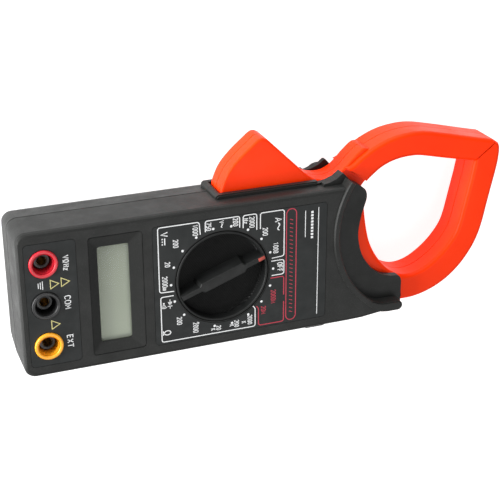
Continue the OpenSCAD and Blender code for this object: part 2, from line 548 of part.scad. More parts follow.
module hinge_pin() color(c_steel) translate([piv_x, piv_y, 3.65]) cylinder(d = pin_d - 0.02, h = 26.7);
module return_spring() color(c_steel) translate([piv_x, piv_y, az0]) {
  for (i = [0:3]) translate([0, 0, 0.55 + i*0.86]) rotate_extrude() translate([4.4, 0]) circle(0.45, $fn = 20);
  rotate(-90) translate([4.4, 0, -2]) cylinder(r = 0.45, h = 2.6, $fn = 20);
}
module coil_bobbin() color([0.93, 0.92, 0.88]) difference() {
  union() {
    for (y = [-3, 12]) translate([35.1, y, jaw_z - 6.7]) cube([11.4, 1, 13.4]);
    translate([36.4, -3, jaw_z - 5.5]) cube([9.2, 16, 11]);
  }
  translate([0, 0, -0.01]) core_solid(core_fix, 7.5, 9.5);
}
module pickup_coil() color([0.72, 0.38, 0.16]) difference() {
  translate([35.4, -1.95, jaw_z - 6.4]) cube([10.9, 13.9, 12.8]);
  translate([36.35, -5, jaw_z - 5.55]) cube([9.3, 20, 11.1]);
}

// ---- battery ----
module battery() color([0.15, 0.16, 0.2]) difference() {
  slab(bat_x0, bat_x1, -13.1, 13.1, 1.5, 2.7, 20);
  translate([bat_x1 - 0.6, -11.6, 4]) cube([1, 23.2, 14.6]);
}
module battery_terminals() color(c_steel) for (s = [-1, 1]) translate([bat_x1 - 0.58, s*6.4, 11.3]) rotate([0, 90, 0]) difference() {
  cylinder(r = s > 0 ? 3.6 : 2.9, h = 3);
  translate([0, 0, 1]) cylinder(r = s > 0 ? 2.6 : 1.2, h = 4);
}
module battery_snap() color([0.08, 0.08, 0.08]) difference() {
  translate([bat_x1 + 0.9, -12.4, 5.4]) cube([3.4, 24.8, 11.8]);
  for (s = [-1, 1]) translate([bat_x1 - 1, s*6.4, 11.3]) rotate([0, 90, 0]) cylinder(r = s > 0 ? 3.65 : 2.95, h = 3.6);
}
module wire(P, r, R = 1.5) {
  n = len(P);
  for (i = [0:n - 2]) {
    d = P[i + 1] - P[i]; L = norm(d); a = i > 0 ? R : 0; b = i < n - 2 ? R : 0;
    translate(P[i] + d*a/L) rotate([0, acos(d[2]/L), atan2(d[1], d[0])]) cylinder(r = r, h = L - a - b, $fn = 20);
  }
  if (n > 2) for (i = [1:n - 2]) {
    u = unit(P[i] - P[i - 1]); v = unit(P[i + 1] - P[i]); w = cross(u, v); c = P[i] - R*u + R*v;
    multmatrix([[-v[0], u[0], w[0], c[0]], [-v[1], u[1], w[1], c[1]], [-v[2], u[2], w[2], c[2]], [0, 0, 0, 1]])
      rotate_extrude(angle = 90, $fn = 40) translate([R, 0]) circle(r, $fn = 20);
  }
}
module battery_leads() color([0.7, 0.1, 0.1]) for (y = [-5.4, 3.4])
  wire([[bat_x1 + 4.32, y, 12.5], [-57, y, 12.5], [-57, y, pcb_z + pcb_t + 0.5]], 0.6);
module coil_leads() color([0.75, 0.75, 0.2]) for (k = [0, 1])
  wire([[35.05, -2.5, 19 - 4*k], [15 - 2.5*k, -2.5, 19 - 4*k], [15 - 2.5*k, -2.5, pcb_z + pcb_t + 0.5]], 0.45);

front_case();
rear_case();
battery_door();
battery_door_screw();
case_screws();
dial_label();
jack_label();
lcd_window();
lcd_glass();
lcd_frame();
zebra_strips();
main_pcb();
switch_tracks();
converter_chip();
board_parts();
buzzer();
knob();
knob_mark();
switch_rotor();
rotor_contacts();
click_balls();
jack_wells();
jack_ring_red();
jack_ring_black();
jack_ring_yellow();
jack_contacts();
hold_button();
hold_switch();
fixed_jaw_front();
fixed_jaw_rear();
fixed_jaw_core();
moving_jaw_front();
moving_jaw_rear();
moving_jaw_core();
hinge_pin();
return_spring();
coil_bobbin();
pickup_coil();
battery();
battery_terminals();
battery_snap();
battery_leads();
coil_leads();
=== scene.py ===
import bpy, bmesh, json, math
from mathutils import Matrix, Vector
from mathutils.geometry import tessellate_polygon


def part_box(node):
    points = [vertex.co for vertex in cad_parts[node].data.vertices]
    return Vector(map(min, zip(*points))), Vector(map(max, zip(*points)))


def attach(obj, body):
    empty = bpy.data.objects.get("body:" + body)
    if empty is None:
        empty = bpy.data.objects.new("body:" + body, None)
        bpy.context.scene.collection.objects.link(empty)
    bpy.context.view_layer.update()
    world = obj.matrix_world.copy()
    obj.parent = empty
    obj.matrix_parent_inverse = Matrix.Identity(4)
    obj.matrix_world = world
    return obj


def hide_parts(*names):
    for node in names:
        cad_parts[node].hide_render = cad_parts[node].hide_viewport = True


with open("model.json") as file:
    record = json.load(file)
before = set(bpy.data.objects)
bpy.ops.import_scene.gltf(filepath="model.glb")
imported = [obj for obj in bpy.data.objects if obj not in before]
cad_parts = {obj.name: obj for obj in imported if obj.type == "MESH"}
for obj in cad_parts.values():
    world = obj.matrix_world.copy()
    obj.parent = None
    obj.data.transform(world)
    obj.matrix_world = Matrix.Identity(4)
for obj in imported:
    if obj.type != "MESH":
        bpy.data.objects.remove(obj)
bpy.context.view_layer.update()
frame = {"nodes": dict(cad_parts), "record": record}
N = frame["nodes"]
scene = bpy.context.scene
MM = 0.001
rad = math.radians


def mm(node):
    lo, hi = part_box(node)
    return [v * 1000 for v in lo], [v * 1000 for v in hi]


# ------------------------------------------------------------------ materials
class G:
    """A small node graph round one Principled shader."""

    def __init__(self, name):
        self.m = bpy.data.materials.new(name)
        self.m.use_nodes = True
        self.t = self.m.node_tree
        self.p = self.t.nodes["Principled BSDF"]
        self.co = self.t.nodes.new("ShaderNodeTexCoord").outputs["Object"]
        self.h = None

    def link(self, a, b):
        self.t.links.new(a, b)

    def node(self, kind, **kw):
        n = self.t.nodes.new(kind)
        for k, v in kw.items():
            if isinstance(v, tuple) and len(v) == 2 and v[0] == "in":
                continue
            setattr(n, k, v)
        return n

    def noise(self, scale, detail=3.0, rough=0.5, stretch=None):
        n = self.node("ShaderNodeTexNoise")
        n.inputs["Scale"].default_value = scale
        n.inputs["Detail"].default_value = detail
        n.inputs["Roughness"].default_value = rough
        if stretch:
            mp = self.node("ShaderNodeMapping")
            mp.inputs["Scale"].default_value = stretch
            self.link(self.co, mp.inputs["Vector"])
            self.link(mp.outputs[0], n.inputs["Vector"])
        else:
            self.link(self.co, n.inputs["Vector"])
        return n.outputs["Fac"]

    def range(self, src, a, b, lo=0.3, hi=0.7):
        n = self.node("ShaderNodeMapRange")
        n.inputs["From Min"].default_value = lo
        n.inputs["From Max"].default_value = hi
        n.inputs["To Min"].default_value = a
        n.inputs["To Max"].default_value = b
        self.link(src, n.inputs["Value"])
        return n.outputs["Result"]

    def mix(self, fac, a, b, kind="MIX"):
        n = self.node("ShaderNodeMix")
        n.data_type = "RGBA"
        n.blend_type = kind
        if isinstance(fac, (int, float)):
            n.inputs[0].default_value = fac
        else:
            self.link(fac, n.inputs[0])
        for s, v in ((n.inputs[6], a), (n.inputs[7], b)):
            if isinstance(v, (tuple, list)):
                s.default_value = (*v[:3], 1)
            else:
                self.link(v, s)
        return n.outputs[2]

    def bump(self, src, dist, strength=1.0):
        n = self.node("ShaderNodeBump")
        n.inputs["Strength"].default_value = strength
        n.inputs["Distance"].default_value = dist
        self.link(src, n.inputs["Height"])
        if self.h is not None:
            self.link(self.h, n.inputs["Normal"])
        self.h = n.outputs[0]
        self.link(self.h, self.p.inputs["Normal"])


def plastic(name, base, other=None, rough=(0.4, 0.55), grain=2600, depth=2e-5, patch=60, spec=0.5, fleck=0.0, coat=0.0):
    g = G(name)
    other = other or tuple(min(1, c * 1.25 + 0.002) for c in base)
    col = g.mix(g.range(g.noise(patch, 4, 0.6), 0, 1), base, other)
    if fleck:
        col = g.mix(g.range(g.noise(grain * 1.1, 2, 0.5), 0, fleck, 0.55, 0.75), col, tuple(min(1, c * 2.2 + 0.03) for c in base))
    g.link(col, g.p.inputs["Base Color"])
    g.link(g.range(g.noise(patch * 3, 5, 0.6), rough[0], rough[1]), g.p.inputs["Roughness"])
    g.p.inputs["Specular IOR Level"].default_value = spec
    if coat:
        g.p.inputs["Coat Weight"].default_value = coat
        g.p.inputs["Coat Roughness"].default_value = 0.25
    g.bump(g.noise(grain, 2, 0.55), depth)
    return g


def metal(name, base, rough=(0.2, 0.4), brush=(1, 1, 1), grain=900):
    g = G(name)
    g.p.inputs["Metallic"].default_value = 1
    g.link(g.mix(g.range(g.noise(220, 4, 0.6), 0, 1), base, tuple(c * 0.72 for c in base)), g.p.inputs["Base Color"])
    n = g.noise(grain, 3, 0.6, stretch=brush)
    g.link(g.range(n, *rough), g.p.inputs["Roughness"])
    g.bump(n, 6e-6)
    return g


M = {}
M["case"] = plastic("case_plastic", (0.0135, 0.0142, 0.0135), (0.0172, 0.0178, 0.0168), (0.42, 0.58), 2300, 5.5e-5, 45, 0.23, 0.3).m
M["panel"] = plastic("panel_film", (0.0125, 0.0142, 0.0142), (0.016, 0.018, 0.018), (0.45, 0.6), 5200, 8e-6, 70, 0.25).m
M["knob"] = plastic("knob_plastic", (0.0058, 0.0064, 0.0062), (0.0085, 0.0092, 0.009), (0.42, 0.58), 3600, 1.6e-5, 70, 0.28).m
M["black"] = plastic("black_plastic", (0.010, 0.010, 0.0105), None, (0.35, 0.5), 3000, 1e-5, 80).m
M["red"] = plastic("mark_paint", (0.42, 0.055, 0.035), (0.34, 0.045, 0.03), (0.45, 0.6), 4000, 1e-5, 400).m
M["red_ring"] = plastic("red_moulding", (0.50, 0.012, 0.024), (0.56, 0.020, 0.034), (0.3, 0.42), 2600, 1.4e-5, 160).m
M["amber_ring"] = plastic("amber_moulding", (0.80, 0.33, 0.010), (0.86, 0.38, 0.016), (0.3, 0.42), 2600, 1.4e-5, 160).m
M["jaw"] = plastic("jaw_plastic", (0.96, 0.034, 0.0), (1.0, 0.042, 0.001), (0.34, 0.46), 1700, 1.3e-5, 35, 0.13).m
M["white_plastic"] = plastic("natural_nylon", (0.72, 0.71, 0.64), (0.8, 0.79, 0.73), (0.4, 0.55), 2000, 1e-5, 90).m
M["rubber"] = plastic("conductive_rubber", (0.02, 0.02, 0.02), (0.05, 0.05, 0.05), (0.7, 0.85), 3000, 3e-5, 900).m
M["chip"] = plastic("epoxy", (0.012, 0.012, 0.013), None, (0.5, 0.65), 2500, 1.5e-5, 200).m
M["parts"] = plastic("lacquer", (0.42, 0.30, 0.14), (0.25, 0.3, 0.38), (0.25, 0.4), 1500, 1e-5, 260).m
M["battery"] = plastic("battery_jacket", (0.03, 0.032, 0.045), (0.2, 0.13, 0.04), (0.25, 0.4), 1500, 8e-6, 26).m
M["wire_red"] = plastic("red_insulation", (0.42, 0.02, 0.02), (0.03, 0.03, 0.03), (0.4, 0.55), 2500, 1e-5, 30).m
M["wire_yellow"] = plastic("yellow_insulation", (0.55, 0.42, 0.03), (0.5, 0.5, 0.45), (0.4, 0.55), 2500, 1e-5, 60).m
M["ink_white"] = plastic("white_ink", (0.86, 0.87, 0.87), (0.72, 0.73, 0.74), (0.5, 0.65), 4200, 8e-6, 900).m
M["ink_red"] = plastic("red_ink", (0.50, 0.030, 0.060), (0.40, 0.025, 0.05), (0.5, 0.65), 4200, 8e-6, 900).m
M["ink_yellow"] = plastic("yellow_ink", (0.66, 0.60, 0.25), (0.55, 0.5, 0.2), (0.5, 0.65), 4200, 8e-6, 900).m
M["steel"] = metal("plated_steel", (0.56, 0.57, 0.58)).m
M["core"] = metal("laminated_core", (0.40, 0.40, 0.42), (0.35, 0.55), (1, 1, 30), 700).m
M["brass"] = metal("brass_plating", (0.42, 0.30, 0.13), (0.3, 0.5)).m
M["copper"] = plastic("copper_wire", (0.50, 0.16, 0.05), (0.66, 0.26, 0.09), (0.25, 0.4), 900, 4e-5, 500).m

g = G("solder_mask")
g.link(g.mix(g.range(g.noise(600, 2), 0, 1, 0.48, 0.52), (0.008, 0.085, 0.03), (0.02, 0.15, 0.055)), g.p.inputs["Base Color"])
g.link(g.range(g.noise(300), 0.25, 0.4), g.p.inputs["Roughness"])
g.bump(g.noise(600, 2), 2e-5)
M["board"] = g.m

g = G("display_glass")  # olive liquid crystal, a little lighter towards one end
sep = g.node("ShaderNodeSeparateXYZ")
g.link(g.co, sep.inputs[0])
# painted light: the olive field is mixed lighter towards one end along Y, a light falloff painted into the display
# colour
t = g.range(sep.outputs["Y"], 0, 1, 0.024, -0.024)
base = g.mix(t, (0.130, 0.160, 0.068), (0.235, 0.275, 0.165))
g.link(g.mix(g.range(g.noise(900, 2), 0, 0.25), base, (0.24, 0.27, 0.18)), g.p.inputs["Base Color"])
g.link(g.range(g.noise(120), 0.35, 0.5), g.p.inputs["Roughness"])
g.p.inputs["Specular IOR Level"].default_value = 0.3
g.bump(g.noise(5000, 1), 3e-6)
M["lcd"] = g.m

g = G("clear_window")
g.link(g.mix(g.range(g.noise(80), 0, 1), (0.82, 0.86, 0.84), (0.78, 0.83, 0.80)), g.p.inputs["Base Color"])
g.link(g.range(g.noise(400), 0.05, 0.12), g.p.inputs["Roughness"])
g.p.inputs["Alpha"].default_value = 0.12
g.p.inputs["Specular IOR Level"].default_value = 0.35
g.bump(g.noise(150), 4e-6)
M["window"] = g.m

g = G("knob_floor")  # fine diagonal ribs moulded in the finger wells
mp = g.node("ShaderNodeMapping")
mp.inputs["Rotation"].default_value = (0, 0, rad(45 + 20))
g.link(g.co, mp.inputs["Vector"])
wv = g.node("ShaderNodeTexWave")
wv.wave_type, wv.bands_direction, wv.wave_profile = "BANDS", "X", "SIN"
wv.inputs["Scale"].default_value = 480
wv.inputs["Distortion"].default_value = 0
g.link(mp.outputs[0], wv.inputs["Vector"])
# painted shade and light: the rib colour follows the wave height, dark in the troughs and lighter on the crests, on top
# of the real bump
g.link(g.mix(wv.outputs["Fac"], (0.0012, 0.0013, 0.0013), (0.0085, 0.009, 0.0088)), g.p.inputs["Base Color"])
g.link(g.range(g.noise(300), 0.4, 0.55), g.p.inputs["Roughness"])
g.p.inputs["Specular IOR Level"].default_value = 0.2
g.bump(wv.outputs["Fac"], 1.6e-4)
M["knob_floor"] = g.m


# ------------------------------------------------------------------ mesh tools
def make(name, verts, faces, mat, body, sharp=38, slot=None, scale=MM, merge=True):
    me = bpy.data.meshes.new(name)
    me.from_pydata([tuple(c * scale for c in v) for v in verts], [], faces)
    bm = bmesh.new()
    bm.from_mesh(me)
    if merge:
        bmesh.ops.remove_doubles(bm, verts=bm.verts, dist=1e-7)
    bmesh.ops.recalc_face_normals(bm, faces=bm.faces)
    bm.to_mesh(me)
    bm.free()
    for p in me.polygons:
        p.use_smooth = True
    me.set_sharp_from_angle(angle=rad(sharp))
    o = bpy.data.objects.new(name, me)
    scene.collection.objects.link(o)
    me.materials.append(mat)
    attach(o, body)
    return o


def soften(o, w, seg=3, angle=32):
    b = o.modifiers.new("edge", "BEVEL")
    b.width, b.segments, b.limit_method, b.angle_limit = w * MM, seg, "ANGLE", rad(angle)
    b.use_clamp_overlap = True
    n = o.modifiers.new("shade", "WEIGHTED_NORMAL")
    n.keep_sharp, n.weight = True, 60
    return o


def cr(a, b, c, d, t):
    return tuple(0.5 * (2 * b[k] + (c[k] - a[k]) * t + (2 * a[k] - 5 * b[k] + 4 * c[k] - d[k]) * t * t + (3 * b[k] - a[k] - 3 * c[k] + d[k]) * t ** 3) for k in range(2))


def smooth(P, n=8):
    out = []
    for i in range(len(P) - 1):
        for k in range(n):
            out.append(cr(P[max(i - 1, 0)], P[i], P[i + 1], P[min(i + 2, len(P) - 1)], k / n))
    return out + [tuple(P[-1])]


def unit(x, y):
    L = math.hypot(x, y) or 1
    return x / L, y / L


def inset(P, d):
    n = len(P)
    out = []
    for i in range(n):
        a, b, c = P[i - 1], P[i], P[(i + 1) % n]
        u, v = unit(b[0] - a[0], b[1] - a[1]), unit(c[0] - b[0], c[1] - b[1])
        n1, n2 = (-u[1], u[0]), (-v[1], v[0])
        k = max(1 + n1[0] * n2[0] + n1[1] * n2[1], 0.8)
        out.append((b[0] + (n1[0] + n2[0]) * d / k, b[1] + (n1[1] + n2[1]) * d / k))
    return out


def loft(layers, strip=False):
    """Closed solid through outlines of equal length, each (points, z). With strip, the outline is two edges of
    equal length, and its caps are quads from one edge to the other."""
    n = len(layers[0][0])
    verts = [(p[0], p[1], z) for P, z in layers for p in P]
    top = (len(layers) - 1) * n
    faces = []
    for base, P, turn in ((0, layers[0][0], True), (top, layers[-1][0], False)):
        if strip:
            cap = [(i, i + 1, n - 2 - i, n - 1 - i) for i in range(n // 2 - 1)]
        else:
            cap = tessellate_polygon([[Vector((p[0], p[1], 0)) for p in P]])
        for f in cap:
            area2 = sum(P[f[i]][0] * P[f[(i + 1) % len(f)]][1] - P[f[(i + 1) % len(f)]][0] * P[f[i]][1] for i in range(len(f)))
            f = tuple(f) if (area2 > 0) != turn else tuple(f)[::-1]
            faces.append(tuple(base + i for i in f))
    for k in range(len(layers) - 1):
        for i in range(n):
            j = (i + 1) % n
            faces.append((k * n + i, k * n + j, (k + 1) * n + j, (k + 1) * n + i))
    return verts, faces


def shrink(P, d, mate=()):
    """P moved inwards by d, but the edge between each pair of mate points stays on its own line."""
    out = inset(P, d)
    for i, j in mate:
        u = unit(P[j][0] - P[i][0], P[j][1] - P[i][1])
        out[i] = (P[i][0] + u[0] * d, P[i][1] + u[1] * d)
        out[j] = (P[j][0] - u[0] * d, P[j][1] - u[1] * d)
    return out


def eased(P, z0, z1, c, seam=0.35, up=True, steps=6, mate=()):
    """Layers of a half shell from the seam at z0 to its eased face at z1."""
    s = 1 if up else -1
    L = [(shrink(P, seam, mate), z0), (shrink(P, seam * 0.3, mate), z0 + s * seam * 0.35), (P, z0 + s * seam)]
    for k in range(steps + 1):
        a = rad(90 * k / steps)
        L.append((shrink(P, c * (1 - math.cos(a)), mate), z1 - s * c * (1 - math.sin(a))))
    return L


def ring(path, r, n=12):
    """Tube along a closed or open polyline."""
    verts, faces = [], []
    m = len(path)
    for i, p in enumerate(path):
        a, b = Vector(path[max(i - 1, 0)]), Vector(path[min(i + 1, m - 1)])
        d = (b - a).normalized()
        u = d.cross(Vector((0, 0, 1))).normalized()
        w = u.cross(d)
        for k in range(n):
            t = 2 * math.pi * k / n
            verts.append(tuple(Vector(p) + u * r * math.cos(t) + w * r * math.sin(t)))
    for i in range(m - 1):
        for k in range(n):
            faces.append((i * n + k, i * n + (k + 1) % n, (i + 1) * n + (k + 1) % n, (i + 1) * n + k))
    faces += [tuple(range(n))[::-1], tuple(range((m - 1) * n, m * n))]
    return verts, faces


def lathe(profile, cx, cy, n=96):
    """Solid of revolution about a vertical axis; profile runs (r, z), r 0 closes it."""
    verts, faces, rows = [], [], []
    for r, z in profile:
        if r < 1e-6:
            rows.append([len(verts)])
            verts.append((cx, cy, z))
        else:
            rows.append(list(range(len(verts), len(verts) + n)))
            verts += [(cx + r * math.cos(2 * math.pi * k / n), cy + r * math.sin(2 * math.pi * k / n), z) for k in range(n)]
    for a, b in zip(rows, rows[1:]):
        for k in range(n):
            j = (k + 1) % n
            q = [a[k % len(a)], a[j % len(a)], b[j % len(b)], b[k % len(b)]]
            q = [x for i, x in enumerate(q) if x not in q[:i]]
            if len(q) > 2:
                faces.append(tuple(q))
    return verts, faces


# ------------------------------------------------------------------ jaws
FIX_IN = [(102.5, 33.3), (101.7, 28.5), (100.7, 23), (99.3, 16.5), (97.9, 10), (96.6, 4), (94.8, -1.5), (91.8, -6.3), (87.6, -11), (82.6, -15), (77.5, -17.9), (72, -19.3), (66.6, -18.7), (61.3, -15.9), (56.6, -11.3), (52.4, -5.2), (49.6, 1), (48, 7.5), (46.9, 14), (46.2, 19.9)]
FIX_ROOT = [(35, 19.9), (34.6, 14), (34.3, 7), (35, -1), (37.4, -9.5), (42, -18), (48.5, -24.2), (56, -27.6), (64.9, -28.4)]
FIX_OUT = [(65.1, -31.7), (67.2, -31.95), (72.7, -31.9), (78.1, -31), (83.5, -29.3), (88.9, -26.7), (94.2, -23), (99.5, -17.8), (104.2, -11.2), (107.2, -5), (109.3, 2), (111.3, 12), (113.3, 21.4), (115, 29.7), (115.6, 35), (115.6, 38.4), (114.9, 40.6), (113.6, 41.6)]
MOV_IN = [(47.3, 30.9), (49.5, 32.9), (54.2, 36.4), (59.2, 38.6), (64.2, 39.7), (69.3, 40), (74.4, 39.6), (84.9, 37.2), (95.5, 34.9), (102, 33.6)]
MOV_OUT = [(113, 42), (111.6, 42.9), (109, 43.5), (102.5, 45), (91.6, 47.7), (80.9, 50.2), (75.7, 51.2), (70.5, 51.6), (65.4, 51.3), (60.3, 50.5), (55.3, 49), (50.3, 46.8)]
MOV_ARM = [(48.4, 45.9), (45.2, 46), (40.5, 42.1), (37.5, 39), (34.6, 36.4), (31, 34.6), (27.2, 34.1), (23.2, 34.7), (20.4, 35.9), (17, 38.7)]
MOV_TRIG = [(-0.6, 56.2), (-2.6, 57.1), (-4.8, 56.6), (-8.6, 53.6), (-13.3, 49.6), (-17.5, 45.2), (-20.2, 41), (-22.2, 35.8), (-22.6, 32.2), (-21.4, 30.3), (-18, 29.7)]
MOV_BACK = [(10, 28.6), (18, 26.5), (24, 23.6), (28.5, 21.7), (33.8, 20.9)]
ARM_IN = [(43.2, 20.9), (43.8, 24.6), (45.6, 28.6), (47.2, 30.5)]
ARM_END = [(50.5, 36), (52.5, 40), (51, 44)]
arm = smooth(ARM_IN) + ARM_END + smooth(MOV_ARM) + smooth(MOV_TRIG) + smooth(MOV_BACK, 4)


def even(P, n):
    """P resampled to n points, evenly along its length."""
    d = [0]
    for a, b in zip(P, P[1:]):
        d.append(d[-1] + math.hypot(b[0] - a[0], b[1] - a[1]))
    out, k = [], 0
    for i in range(n):
        t = d[-1] * i / (n - 1)
        while k < len(P) - 2 and d[k + 1] < t:
            k += 1
        q = (t - d[k]) / max(d[k + 1] - d[k], 1e-9)
        out.append(tuple(P[k][c] + (P[k + 1][c] - P[k][c]) * q for c in range(2)))
    return out


fix = even(smooth(FIX_IN), 110) + even(smooth(FIX_ROOT), 40) + [(65.08, -30.1)] + even(smooth(FIX_OUT), 69)
jaw = even(smooth(MOV_IN), 90) + even(smooth(MOV_OUT) + [(46.4, 44.5), (42.8, 42), (39.8, 39.5), (37, 38.3)], 90)

fz0, fz1 = mm("fixed_jaw_rear")[0][2], mm("fixed_jaw_front")[1][2]
seam_z = mm("fixed_jaw_front")[0][2]
arm_lo, arm_hi = seam_z - 6.7, seam_z + 6.7


def shade(o):
    n = o.modifiers.new("shade", "WEIGHTED_NORMAL")
    n.keep_sharp, n.weight = True, 60
    return o


for side, up, z1, za in (("front", True, fz1, arm_hi), ("rear", False, fz0, arm_lo)):
    o = shade(make("fixed_jaw_%s_skin" % side, *loft(eased(fix, seam_z, z1, 1.9, up=up, mate=((0, len(fix) - 1),)), True), M["jaw"], "meter_case", slot="jaw"))
    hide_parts("fixed_jaw_" + side)
    a = shade(make("trigger_arm_%s_skin" % side, *loft(eased(arm, seam_z, za, 1.0, up=up, steps=4)), M["jaw"], "moving_jaw", slot="jaw"))
    b = shade(make("moving_jaw_%s_skin" % side, *loft(eased(jaw, seam_z, z1, 1.9, up=up, mate=((len(jaw) // 2 - 1, len(jaw) // 2), (0, len(jaw) - 1))), True), M["jaw"], "moving_jaw", slot="jaw"))
    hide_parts("moving_jaw_" + side)

# ------------------------------------------------------------------ dial knob
klo, khi = mm("knob")
label_top = mm("dial_label")[1][2]
kx, ky = (mm("switch_rotor")[0][0] + mm("switch_rotor")[1][0]) / 2, 0.0
kr, ktop, kface = 21.3, khi[2], mm("front_case")[1][2] - 1.0
bar_a = rad(20)
rim = [(0, 28.75), (20.8, 28.75), (21.2, 29.0), (21.3, 29.4), (21.3, kface - 0.25), (21.18, kface - 0.05), (20.95, kface + 0.12), (20.6, kface + 0.16),
       (20.3, kface + 0.08), (20.12, kface - 0.15), (20.0, kface - 0.9), (19.95, 31.4), (19.7, 30.85), (19.1, 30.5), (17, 30.25), (12, 30.12), (6, 30.08), (0, 30.06)]
cup = make("knob_cup", *lathe(rim, kx, ky, 128), M["knob"], "dial", slot="knob")
cup.data.materials.append(M["knob_floor"])
for p in cup.data.polygons:
    c = p.center
    if math.hypot(c.x * 1000 - kx, c.y * 1000 - ky) < 19.85 and c.z * 1000 > 30.0:
        p.material_index = 1
skirt = make("knob_skirt", *lathe([(20.35, 31.25), (23.5, 31.25), (23.6, 31.4), (23.6, 32.55), (23.45, 32.7), (20.35, 32.7), (20.35, 31.25)], kx, ky, 96), M["knob"], "dial", slot="knob")
post = make("knob_post", *lathe([(0, 26.5), (2.15, 26.5), (2.4, 26.75), (2.4, 29.2), (0, 29.2)], kx, ky, 32), M["knob"], "dial", slot="knob")


def bar_outline(h0, h1, L, taper=0.0):
    """Grip bar seen from above: a wider middle block stepping down to narrow ends."""
    e = 20.25
    pts = [(-e, -h0), (-L - 1.2, -h0), (-L, -h1), (L, -h1), (L + 1.2, -h0), (e, -h0), (e, h0), (L + 1.2, h0), (L, h1), (-L, h1), (-L - 1.2, h0), (-e, h0)]
    return [(p[0] * (1 - taper), p[1]) for p in pts]


layers = []
for z, h0, h1, L in ((30.0, 1.85, 3.3, 10.9), (30.6, 1.6, 3.0, 10.6), (31.6, 1.52, 2.85, 10.5), (34, 1.38, 2.65, 10.3), (36.3, 1.2, 2.45, 10.1), (36.75, 1.1, 2.34, 10.0), (ktop - 0.02, 0.9, 2.1, 9.75)):
    layers.append(([(kx + u * math.cos(bar_a) - v * math.sin(bar_a), ky + u * math.sin(bar_a) + v * math.cos(bar_a)) for u, v in bar_outline(h0, h1, L)], z))
bar = make("knob_bar", *loft(layers), M["knob"], "dial", sharp=25, slot="knob")
soften(bar, 0.16, 2, 28)
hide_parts("knob")

mk_z = ktop
mark = []
for u0, u1, hw, z in ((17.2, 20.3, 0.78, mk_z - 0.3), (17.2, 20.3, 0.78, mk_z - 0.02), (17.3, 20.2, 0.7, mk_z + 0.03)):
    mark.append(([(kx + u * math.cos(bar_a) - v * math.sin(bar_a), ky + u * math.sin(bar_a) + v * math.cos(bar_a)) for u, v in ((u0, -hw), (u1, -hw), (u1, hw), (u0, hw))], z))
o = make("pointer_mark", *loft(mark), M["red"], "dial", slot="red")
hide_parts("knob_mark")

# ------------------------------------------------------------------ printing
GL = {
    "0": [[(.15, .2), (.15, .8), (.3, 1), (.6, 1), (.75, .8), (.75, .2), (.6, 0), (.3, 0), (.15, .2)]],
    "1": [[(.2, .78), (.48, 1), (.48, 0)]],
    "2": [[(.15, .78), (.3, 1), (.6, 1), (.75, .8), (.75, .62), (.15, 0), (.78, 0)]],
    "3": [[(.15, .9), (.3, 1), (.6, 1), (.75, .8), (.6, .54), (.35, .54)], [(.6, .54), (.78, .3), (.6, 0), (.3, 0), (.12, .14)]],
    "5": [[(.72, 1), (.2, 1), (.17, .56), (.55, .6), (.76, .42), (.76, .2), (.55, 0), (.3, 0), (.13, .12)]],
    "7": [[(.12, 1), (.78, 1), (.35, 0)]],
    "A": [[(.08, 0), (.45, 1), (.82, 0)], [(.2, .33), (.7, .33)]],
    "C": [[(.78, .82), (.6, 1), (.3, 1), (.13, .8), (.13, .2), (.3, 0), (.6, 0), (.78, .18)]],
    "E": [[(.74, 1), (.16, 1), (.16, 0), (.74, 0)], [(.16, .52), (.64, .52)]],
    "F": [[(.74, 1), (.16, 1), (.16, 0)], [(.16, .52), (.62, .52)]],
    "H": [[(.15, 0), (.15, 1)], [(.75, 0), (.75, 1)], [(.15, .52), (.75, .52)]],
    "K": [[(.16, 0), (.16, 1)], [(.74, 1), (.18, .45)], [(.36, .6), (.76, 0)]],
    "M": [[(.1, 0), (.1, 1), (.47, .35), (.84, 1), (.84, 0)]],
    "O": [[(.13, .2), (.13, .8), (.3, 1), (.62, 1), (.8, .8), (.8, .2), (.62, 0), (.3, 0), (.13, .2)]],
    "T": [[(.08, 1), (.82, 1)], [(.45, 1), (.45, 0)]],
    "V": [[(.08, 1), (.45, 0), (.82, 1)]],
    "X": [[(.1, 1), (.8, 0)], [(.8, 1), (.1, 0)]],
    "m": [[(.08, 0), (.08, .62)], [(.08, .5), (.2, .62), (.36, .62), (.45, .5), (.45, 0)], [(.45, .5), (.57, .62), (.72, .62), (.82, .5), (.82, 0)]],
    "z": [[(.15, .62), (.7, .62), (.15, 0), (.72, 0)]],
    "o": [[(.12, 0), (.36, 0), (.36, .14), (.18, .32), (.12, .6), (.24, .9), (.45, 1), (.66, .9), (.78, .6), (.72, .32), (.54, .14), (.54, 0), (.78, 0)]],
    "~": [[(.02, .42), (.12, .58), (.28, .62), (.46, .5), (.64, .38), (.8, .42), (.9, .58)]],
    "=": [[(.02, .68), (.9, .68)], [(.02, .34), (.2, .34)], [(.37, .34), (.55, .34)], [(.72, .34), (.9, .34)]],
    " ": [],
}


